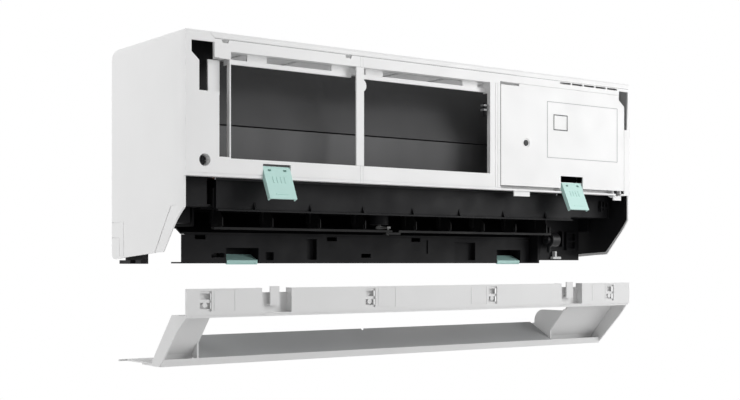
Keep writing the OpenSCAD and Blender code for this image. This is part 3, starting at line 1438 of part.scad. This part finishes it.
module cover_strip() {
  x = front_x - 0.5;
  slab([-x, x], [0, cover_t], [cover_low, cover_top]);
  slab([-x + cover_t, x - cover_t], [cover_t / 2, 2 * cover_t], [cover_low - cover_band_h,
    cover_low + cut]);
  for (x = window_places)
    for (z = [window_low - 1, window_low + window_h - 3, window_low + 11])
      slab([x - 2, x + window_w + 2], [cover_t - 0.1, cover_t + 5], [z, z + 4]);
  for (x = window_places) {
    slab([x - 2, x + window_w + 2], [cover_t + window_deep, cover_t + window_deep + window_back_t],
      [window_low - 1, window_low + window_h + 1]);
    bar_d(x + window_w / 2, [cover_t, cover_t + 5], window_low + window_knob_h, window_knob_r);
  }
}

module receiver_room(s) {
  w = receiver_w / 2;
  slab([s * latch_x - w, s * latch_x + w], [-cut, cover_t + cut], [receiver_low, cover_top + cut]);
}

module receiver(s) {
  w = receiver_w / 2;
  x = [s * latch_x - w, s * latch_x + w];
  back = [receiver_d, receiver_d + cover_t];
  mid = [s * latch_x - tongue_w / 2, s * latch_x + tongue_w / 2];
  slab(x, back, [receiver_low - 1, receiver_top]);
  for (a = [[x[0] - receiver_side_t, x[0]], [x[1], x[1] + receiver_side_t]])
    slab(a, [0.4, back[1]], [receiver_low - cover_t, cover_top]);
  slab([x[0] - receiver_side_t, x[1] + receiver_side_t], [cover_t - 0.1, back[1]],
    [receiver_low - cover_t, receiver_low]);
  slab(mid, [tongue_d, tongue_d + cover_t], [receiver_low + tongue_h, receiver_top + tongue_h - 1]);
  slab(mid, [tongue_d, back[1]], [receiver_low + tongue_h, receiver_low + tongue_h + cover_t]);
}

module bottom_cover() let_down() color(cover_white) {
  difference() {
    union() {
      cover_walls();
      intersection() {
        run_x([-half_w, half_w]) cover_side();
        cover_skin();
      }
      difference() {
        cover_strip();
        for (s = [-1, 1]) receiver_room(s);
      }
      for (s = [-1, 1]) receiver(s);
    }
    for (x = window_places)
      slab([x, x + window_w], [-cut, cover_t], [window_low, window_low + window_h]);
    for (x = emblem_places)
      run_d([-cut, 0.4]) frame_pane([x, x + emblem_w], [window_low, window_low + emblem_h], 0.7);
    slab([-half_w, -half_w + foot_out[1] + foot_room], [foot_d[0] - foot_room, foot_d[1] + foot_room],
      [cover_toe_h - cut, cover_toe_h + cover_t + cut]);
  }
}

module outlet_floor() let_down() color(floor_grey) {
  x = [cover_x0 + cover_t + seat, cover_x1 - seat];
  low = [cover_toe_d - 1, cover_toe_h + cover_lip_h];
  difference() {
    run_x(x) polygon([low, [low[0] + 4, low[1]], [floor_rear[0] + 0.5, floor_rear[1] - floor_t],
      floor_rear]);
    slab([swing_x - floor_notch / 2, swing_x + floor_notch / 2], [floor_rear[0] - 4,
      floor_rear[0] + 4], [20, 50]);
  }
}

// Right end of the cover: the outlet's end wall, the slanted wall beside it and the plate above
module cover_pocket() let_down() color(cover_white) {
  low = cover_toe_h + cover_t + seat;
  front = cover_toe_d + cover_t + seat;
  x = [cover_x1 + cover_t / 2, out_x1 + seat, half_w - cover_in - cover_t - seat];
  run_x([cover_x1, cover_x1 + cover_t]) cheek([[front, low], [front, end_z(front + end_play)],
    [end_d(cheek_top_h) - end_play, cheek_top_h]]);
  intersection() {
    union() {
      run_x([x[0], x[2]]) end_outline(pan_low_h - 1);
      run_x([x[1], x[2]]) end_outline(cover_low - seat);
    }
    slab([x[0], x[2]], [0, unit_d], [low, cover_low]);
  }
  intersection() {
    slab([x[1], half_w], [2 * cover_t + seat, cover_brow_d - end_play], [cover_low - cover_t - seat,
      cover_low - seat]);
    run_z([0, unit_h]) casing_plan(cover_in + cover_t + seat, [0, unit_d]);
  }
}

// Black sheets just inside the sides of the casing
module side_liners() at_unit() color(black) intersection() {
  difference() {
    run_z([0, liner_top]) casing_plan(wall + seat / 3, [liner_d, casing_d - liner_d]);
    run_z([-cut, liner_top + cut]) casing_plan(wall + liner_t, [0, unit_d]);
  }
  run_x([-half_w, half_w]) polygon([[0, liner_top], [0, chamfer_h + liner_edge],
    [chamfer_d + liner_edge / 2, toe_h + liner_edge], [heel_d, heel_h + liner_edge],
    [casing_d, rear_low_h + liner_edge], [casing_d, liner_top]]);
}

front_casing();
top_grille();
centre_divider();
service_cover();
label_plate();
button_board();
push_button();
control_box();
main_board();
terminal_block();
mounting_plate();
rear_chassis();
drain_pan();
lower_panel();
right_end_housing();
harness_clip();
front_lower_coil();
front_upper_coil();
rear_coil();
coil_end_plates();
coil_bends();
refrigerant_pipes();
flare_nuts();
fan_wheel();
fan_stub_shaft();
fan_hub();
motor_shaft();
fan_bearing();
bearing_holder();
fan_motor();
motor_clamp();
clamp_screws();
vane_rails();
vane(left_x[0]);  // vane_left_1
vane(left_x[1]);  // vane_left_2
vane(left_x[2]);  // vane_left_3
vane(left_x[3]);  // vane_left_4
vane(right_x[0]);  // vane_right_1
vane(right_x[1]);  // vane_right_2
vane(right_x[2]);  // vane_right_3
vane(right_x[3]);  // vane_right_4
vane(right_x[4]);  // vane_right_5
link_bar_left();
link_bar_right();
swing_motor();
swing_crank();
louver_motor();
louver_drive();
air_sensor();
sensor_clip();
casing_screws();
latch_pins();
upper_latch(-1);  // upper_latch_left
upper_latch(1);  // upper_latch_right
low_latch_body(-1);  // lower_latch_left
low_latch_body(1);  // lower_latch_right
bottom_cover();
outlet_floor();
cover_pocket();
side_liners();
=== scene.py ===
"""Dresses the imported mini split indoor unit: materials, lights and camera."""
import math

import bpy
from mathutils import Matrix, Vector


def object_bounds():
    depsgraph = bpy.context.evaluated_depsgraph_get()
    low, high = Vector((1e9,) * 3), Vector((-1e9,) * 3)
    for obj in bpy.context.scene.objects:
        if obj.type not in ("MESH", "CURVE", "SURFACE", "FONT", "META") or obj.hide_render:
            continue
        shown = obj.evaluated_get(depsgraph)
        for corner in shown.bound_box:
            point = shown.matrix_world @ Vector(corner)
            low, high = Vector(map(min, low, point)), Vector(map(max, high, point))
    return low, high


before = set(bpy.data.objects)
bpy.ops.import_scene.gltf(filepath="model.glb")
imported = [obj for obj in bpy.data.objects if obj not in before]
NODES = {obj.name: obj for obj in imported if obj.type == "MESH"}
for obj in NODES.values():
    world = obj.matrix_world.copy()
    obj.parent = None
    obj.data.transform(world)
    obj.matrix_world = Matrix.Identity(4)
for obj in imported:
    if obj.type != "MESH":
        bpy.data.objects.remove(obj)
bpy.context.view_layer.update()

# The photograph's camera, in metres: where the front left corner lies from it, its turn,
# its focal length in pixels and its horizon
WIDTH, HEIGHT = 740, 400
FOCAL = 1224.0
HORIZON = 262.0
TURN = math.radians(36.6)
CORNER = (-0.2358, 1.535)
UNIT_HALF, UNIT_FRONT, UNIT_LOW = 0.4175, -0.208, -0.165
SENSOR_WIDTH = 36.0
CLIP_NEAR, CLIP_FAR = 0.05, 50.0

# Strength of the world's light, and the floor: its size, its drop below the unit and its grey
WORLD_LIGHT = 0.3
FLOOR_SIZE, FLOOR_DROP, FLOOR_GREY, FLOOR_ROUGH = 30, 0.9, 0.8, 0.9

# Lamps: name, place, point aimed at, width, height and power
LAMPS = (
    ("left_box", (-3.0, 0.9, 1.0), (-0.3, -0.1, 0), 1.8, 2.2, 45),
    ("right_box", (2.4, -2.6, 0.9), (0.1, -0.1, 0), 1.8, 2.2, 74),
    ("top_box", (0.2, -0.8, 2.6), (0, -0.1, 0), 2.0, 2.0, 11),
)

# Sockets of a Mix node: its two colours and its result
MIX_FIRST, MIX_SECOND, MIX_RESULT = 6, 7, 2

# Plastic: scales of its flow marks, smudges and grain, and the grain's relief in metres
FLOW_SCALE, SMUDGE_SCALE, GRAIN_SCALE = 7, 26, 1400
GRAIN_STRENGTH, GRAIN_DEPTH = 0.35, 0.00006

# Metal: scales of its drawn marks and tarnish, and the marks' relief in metres
MARK_SCALE, TARNISH_SCALE = 300, 40
MARK_STRENGTH, MARK_DEPTH = 0.25, 0.0001
TARNISH = 0.08

# Coil: pitch of the fins, one turn of their wave, its relief, and the scale of combed rows
FIN_PITCH, WAVE_TURN = 0.0014, 6.2832
FIN_STRENGTH, FIN_DEPTH = 0.35, 0.0004
COMBED_SCALE = 9

# Circuit board: scale and width of its tracks, and their relief in metres
TRACK_SCALE, TRACK_WIDTH = 160.0, 0.07
TRACK_STRENGTH, TRACK_DEPTH = 0.3, 0.0001


def linear(value):
    """Linear light of an sRGB share between 0 and 1."""
    return value / 12.92 if value <= 0.04045 else ((value + 0.055) / 1.055) ** 2.4


def shade(red, green=None, blue=None):
    """Colour of an sRGB triple written from 0 to 255."""
    green = red if green is None else green
    blue = red if blue is None else blue
    return tuple(linear(v / 255) for v in (red, green, blue)) + (1.0,)


class Graph:
    """Short way to build a node tree of one material."""

    def __init__(self, name):
        self.material = bpy.data.materials.new(name)
        self.material.use_nodes = True
        self.tree = self.material.node_tree
        self.shader = self.tree.nodes["Principled BSDF"]

    def add(self, kind, **settings):
        node = self.tree.nodes.new(kind)
        for key, value in settings.items():
            if key in node.inputs.keys():
                node.inputs[key].default_value = value
            else:
                setattr(node, key, value)
        return node

    def link(self, source, target):
        self.tree.links.new(source, target)

    def place(self, stretch=(1, 1, 1)):
        """Object coordinates, stretched."""
        coords = self.add("ShaderNodeTexCoord")
        scale = self.add("ShaderNodeMapping")
        scale.inputs["Scale"].default_value = stretch
        self.link(coords.outputs["Object"], scale.inputs["Vector"])
        return scale.outputs["Vector"]

    def noise(self, scale, detail=4.0, stretch=(1, 1, 1)):
        node = self.add("ShaderNodeTexNoise", Scale=scale, Detail=detail)
        self.link(self.place(stretch), node.inputs["Vector"])
        return node.outputs["Fac"]

    def spread(self, value, low, high, start=0.3, end=0.7):
        """Value between two numbers as a factor runs between start and end."""
        node = self.add("ShaderNodeMapRange")
        ends = {"From Min": start, "From Max": end, "To Min": low, "To Max": high}
        for key, number in ends.items():
            node.inputs[key].default_value = number
        self.link(value, node.inputs["Value"])
        return node.outputs["Result"]

    def blend(self, factor, first, second):
        node = self.add("ShaderNodeMix", data_type="RGBA")
        self.link(factor, node.inputs["Factor"])
        for slot, colour in ((MIX_FIRST, first), (MIX_SECOND, second)):
            if isinstance(colour, tuple):
                node.inputs[slot].default_value = colour
            else:
                self.link(colour, node.inputs[slot])
        return node.outputs[MIX_RESULT]

    def within(self, spans):
        """1 inside a box given as spans along the object's axes in metres, and 0 outside it."""
        coords = self.add("ShaderNodeTexCoord")
        parts = self.add("ShaderNodeSeparateXYZ")
        self.link(coords.outputs["Object"], parts.inputs[0])
        total = None
        for axis, span in spans.items():
            for edge, operation in zip(span, ("GREATER_THAN", "LESS_THAN")):
                test = self.add("ShaderNodeMath", operation=operation)
                self.link(parts.outputs[axis], test.inputs[0])
                test.inputs[1].default_value = edge
                if total is None:
                    total = test.outputs[0]
                else:
                    both = self.add("ShaderNodeMath", operation="MULTIPLY")
                    self.link(total, both.inputs[0])
                    self.link(test.outputs[0], both.inputs[1])
                    total = both.outputs[0]
        return total

    def bump(self, height, strength, distance, below=None):
        node = self.add("ShaderNodeBump", Strength=strength, Distance=distance)
        self.link(height, node.inputs["Height"])
        if below is not None:
            self.link(below, node.inputs["Normal"])
        return node.outputs["Normal"]


def tint(colour, factor):
    return tuple(min(1.0, c * factor) for c in colour[:3]) + (1.0,)


def plastic(name, colour, rough=0.42, vary=0.04, specular=0.4, lines=()):
    """Moulded plastic: spark-eroded grain, slow flow variation, smudges, and boxes of flat colour:
    painted shade in the casing's seams and print on the label.
    """
    g = Graph(name)
    slow = g.noise(FLOW_SCALE, detail=3)
    fine = g.noise(GRAIN_SCALE, detail=2)
    base = g.blend(g.spread(slow, 0, 1), tint(colour, 1 - vary), tint(colour, 1 + vary))
    # Each box paints its flat colour over the base: painted shade in the casing's seams, print on
    # the label
    for spans, seam_shade_and_print in lines:
        base = g.blend(g.within(spans), base, seam_shade_and_print)
    g.link(base, g.shader.inputs["Base Color"])
    smudge = g.noise(SMUDGE_SCALE, detail=6)
    g.link(g.spread(smudge, rough - 0.06, rough + 0.08), g.shader.inputs["Roughness"])
    g.link(g.bump(fine, GRAIN_STRENGTH, GRAIN_DEPTH), g.shader.inputs["Normal"])
    g.shader.inputs["Specular IOR Level"].default_value = specular
    return g.material


def metal(name, colour, rough=0.3, stretch=(1, 1, 1)):
    """Metal with drawn or rolled marks and a slow tarnish."""
    g = Graph(name)
    marks = g.noise(MARK_SCALE, detail=3, stretch=stretch)
    tarnish = g.noise(TARNISH_SCALE, detail=5)
    base = g.blend(g.spread(tarnish, 0, 1), tint(colour, 1 - TARNISH), tint(colour, 1 + TARNISH))
    g.link(base, g.shader.inputs["Base Color"])
    g.link(g.spread(marks, rough - 0.08, rough + 0.12), g.shader.inputs["Roughness"])
    g.link(g.bump(marks, MARK_STRENGTH, MARK_DEPTH), g.shader.inputs["Normal"])
    g.shader.inputs["Metallic"].default_value = 1.0
    return g.material


def fins(name, colour):
    """Stack of thin aluminium fins: painted shade in the gaps between painted highlights on the
    fin edges, with a few combed rows.
    """
    g = Graph(name)
    wave = g.add("ShaderNodeTexWave", wave_type="BANDS", bands_direction="X", wave_profile="SIN",
                 Scale=1 / FIN_PITCH / WAVE_TURN * 2, Distortion=0.6, Detail=1.0)
    g.link(g.place(), wave.inputs["Vector"])
    combed = g.noise(COMBED_SCALE, detail=3, stretch=(1, 0.3, 0.3))
    # Painted shade in the gaps between fins and painted highlights on their edges
    edges = g.spread(wave.outputs["Fac"], 0, 1, 0.2, 0.8)
    fin_shade_and_highlight = g.blend(edges, tint(colour, 0.62), tint(colour, 1.25))
    g.link(g.blend(g.spread(combed, 0, 0.4), fin_shade_and_highlight, colour), g.shader.inputs["Base Color"])
    g.link(g.spread(combed, 0.42, 0.6), g.shader.inputs["Roughness"])
    g.link(g.bump(wave.outputs["Fac"], FIN_STRENGTH, FIN_DEPTH), g.shader.inputs["Normal"])
    g.shader.inputs["Metallic"].default_value = 0.35
    return g.material


def circuit(name, colour):
    """Solder mask over copper tracks."""
    g = Graph(name)
    tracks = g.add("ShaderNodeTexBrick", Scale=TRACK_SCALE)
    tracks.inputs["Mortar Size"].default_value = TRACK_WIDTH
    g.link(g.place(), tracks.inputs["Vector"])
    mask = g.spread(tracks.outputs["Fac"], 0, 1, 0, 1)
    g.link(g.blend(mask, colour, tint(colour, 1.7)), g.shader.inputs["Base Color"])
    g.link(g.bump(tracks.outputs["Fac"], TRACK_STRENGTH, TRACK_DEPTH), g.shader.inputs["Normal"])
    g.shader.inputs["Roughness"].default_value = 0.35
    return g.material


# Painted shade in the casing's seams, and the label's printed icon, as boxes in the unit's frame
CASING_SEAM_SHADE = [
    ({"X": (0.1222, 0.1243), "Z": (-0.05, 0.1095)}, shade(120, 121, 122)),
    ({"X": (-0.371, 0.125), "Y": (-0.209, -0.2075), "Z": (0.1204, 0.1214)}, shade(150, 151, 152)),
    ({"X": (0.125, 0.409), "Y": (-0.209, -0.2075), "Z": (0.1204, 0.1212)}, shade(170, 171, 172)),
]
LABEL_LINES = [({"X": (0.231, 0.272), "Z": (0.0, 0.075)}, shade(92, 93, 95))]

MATERIALS = {
    "casing": plastic("casing_white", shade(247, 247, 247), vary=0.02, lines=CASING_SEAM_SHADE),
    "cover": plastic("cover_white", shade(229, 229, 229), vary=0.03),
    "floor": plastic("floor_grey", shade(180, 181, 182)),
    "trim": plastic("trim_white", shade(230, 231, 231)),
    "clip": plastic("clip_grey", shade(128, 129, 130)),
    "line": plastic("print_grey", shade(188, 189, 190), rough=0.6, lines=LABEL_LINES),
    "black": plastic("chassis_black", shade(19, 19, 21), rough=0.55, vary=0.12, specular=0.14),
    "vane": plastic("vane_black", shade(13, 13, 14), rough=0.5, vary=0.12, specular=0.14),
    "panel": plastic("panel_black", shade(23, 23, 25), rough=0.55, vary=0.12, specular=0.14),
    "teal": plastic("latch_teal", shade(199, 236, 229), rough=0.36, vary=0.02),
    # The lower latches' teal is a slightly darker copy of the upper latches' teal: painted shade
    # of the recess they sit in
    "low_teal_shaded": plastic("low_latch_teal_shaded", shade(188, 232, 225), rough=0.36, vary=0.03),
    "button": plastic("button_black", shade(34, 35, 36), rough=0.45, specular=0.2),
    "screw": metal("screw_black", shade(58, 58, 60), rough=0.42),
    "motor": plastic("motor_grey", shade(178, 179, 181), rough=0.5),
    "drive": plastic("drive_grey", shade(120, 120, 119), rough=0.45),
    "louver": plastic("louver_black", shade(30, 30, 32), rough=0.4, specular=0.3),
    "bearing": plastic("bearing_grey", shade(60, 60, 63), rough=0.6),
    "steel": metal("steel", shade(196, 198, 202), stretch=(1, 1, 12)),
    "copper": metal("copper", shade(196, 120, 84), rough=0.28, stretch=(10, 1, 1)),
    "brass": metal("brass", shade(201, 168, 92), rough=0.3),
    # The front coils' dark greys are painted shade: aluminium fins darkened to the shade they sit
    # in, the upper coil more than the lower
    "lower_fins_shaded": fins("lower_fins_shaded", shade(70, 70, 71)),
    "upper_fins_shaded": fins("upper_fins_shaded", shade(54, 54, 55)),
    "rear_fins": fins("rear_fins", shade(150, 152, 155)),
    "board": circuit("board_green", shade(38, 92, 62)),
}

DRESS = {
    "casing": ["front_casing", "top_grille", "centre_divider", "service_cover", "control_box"],
    "trim": ["harness_clip"],
    "clip": ["sensor_clip"],
    "line": ["label_plate"],
    "black": ["rear_chassis", "side_liners", "drain_pan", "vane_rails", "bearing_holder",
              "swing_motor", "right_end_housing", "terminal_block", "air_sensor"],
    "panel": ["lower_panel"],
    "vane": ["fan_wheel", "link_bar_left", "link_bar_right", "fan_hub"]
            + [f"vane_left_{i}" for i in range(1, 5)] + [f"vane_right_{i}" for i in range(1, 6)],
    "teal": ["upper_latch_left", "upper_latch_right"],
    "low_teal_shaded": ["lower_latch_left", "lower_latch_right"],
    "cover": ["bottom_cover", "cover_pocket"],
    "floor": ["outlet_floor"],
    "button": ["push_button"],
    "motor": ["fan_motor"],
    "drive": ["swing_crank"],
    "louver": ["louver_drive", "louver_motor"],
    "screw": ["casing_screws"],
    "bearing": ["fan_bearing"],
    "steel": ["mounting_plate", "coil_end_plates", "fan_stub_shaft", "motor_shaft",
              "motor_clamp", "clamp_screws", "latch_pins"],
    "copper": ["coil_bends", "refrigerant_pipes"],
    "brass": ["flare_nuts"],
    "lower_fins_shaded": ["front_lower_coil"],
    "upper_fins_shaded": ["front_upper_coil"],
    "rear_fins": ["rear_coil"],
    "board": ["main_board", "button_board"],
}


for kind, names in DRESS.items():
    for name in names:
        for slot in NODES[name].material_slots:
            slot.material = MATERIALS[kind]


def camera():
    """The photograph's own camera: level, with the frame shifted up."""
    data = bpy.data.cameras.new("camera")
    data.sensor_width = SENSOR_WIDTH
    data.lens = FOCAL / WIDTH * data.sensor_width
    data.shift_y = (HORIZON - HEIGHT / 2) / WIDTH
    data.clip_start, data.clip_end = CLIP_NEAR, CLIP_FAR
    look = Vector((math.sin(TURN), math.cos(TURN), 0))
    right = Vector((math.cos(TURN), -math.sin(TURN), 0))
    corner = Vector((-UNIT_HALF, UNIT_FRONT, UNIT_LOW))
    obj = bpy.data.objects.new("camera", data)
    obj.location = corner - right * CORNER[0] - look * CORNER[1]
    obj.rotation_euler = (math.pi / 2, 0, -TURN)
    bpy.context.scene.collection.objects.link(obj)
    bpy.context.scene.camera = obj


def lamp(name, place, aim, width, height, power):
    data = bpy.data.lights.new(name, "AREA")
    data.shape = "RECTANGLE"
    data.size, data.size_y = width, height
    data.energy = power
    obj = bpy.data.objects.new(name, data)
    obj.location = place
    obj.rotation_euler = (Vector(aim) - Vector(place)).to_track_quat("-Z", "Y").to_euler()
    bpy.context.scene.collection.objects.link(obj)


def seen_white(tree, lit, out):
    """White to the eye and in reflections, and its own light to everything else."""
    path = tree.nodes.new("ShaderNodeLightPath")
    in_world = out.bl_idname == "ShaderNodeOutputWorld"
    plain = tree.nodes.new("ShaderNodeBackground" if in_world else "ShaderNodeEmission")
    plain.inputs["Color"].default_value = (1, 1, 1, 1)
    plain.inputs["Strength"].default_value = 1.0
    either = path.outputs["Is Camera Ray"]
    for key in ("Is Glossy Ray", "Is Transmission Ray"):
        node = tree.nodes.new("ShaderNodeMath")
        node.operation = "MAXIMUM"
        tree.links.new(either, node.inputs[0])
        tree.links.new(path.outputs[key], node.inputs[1])
        either = node.outputs[0]
    mix = tree.nodes.new("ShaderNodeMixShader")
    tree.links.new(either, mix.inputs["Fac"])
    tree.links.new(lit, mix.inputs[1])
    tree.links.new(plain.outputs[0], mix.inputs[2])
    tree.links.new(mix.outputs[0], out.inputs["Surface"])


def surroundings():
    scene = bpy.context.scene
    scene.view_settings.view_transform = "Standard"
    world = bpy.data.worlds.new("studio")
    scene.world = world
    world.use_nodes = True
    back = world.node_tree.nodes["Background"]
    back.inputs["Color"].default_value = (1, 1, 1, 1)
    back.inputs["Strength"].default_value = WORLD_LIGHT
    seen_white(world.node_tree, back.outputs[0], world.node_tree.nodes["World Output"])
    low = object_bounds()[0][2] - FLOOR_DROP
    bpy.ops.mesh.primitive_plane_add(size=FLOOR_SIZE, location=(0, 0, low))
    floor = bpy.context.object
    floor.name = "floor"
    ground = Graph("floor_pale")
    ground.shader.inputs["Base Color"].default_value = (FLOOR_GREY,) * 3 + (1,)
    ground.shader.inputs["Roughness"].default_value = FLOOR_ROUGH
    seen_white(ground.tree, ground.shader.outputs[0], ground.tree.nodes["Material Output"])
    floor.data.materials.append(ground.material)
    for row in LAMPS:
        lamp(*row)


camera()
surroundings()
bpy.context.view_layer.update()
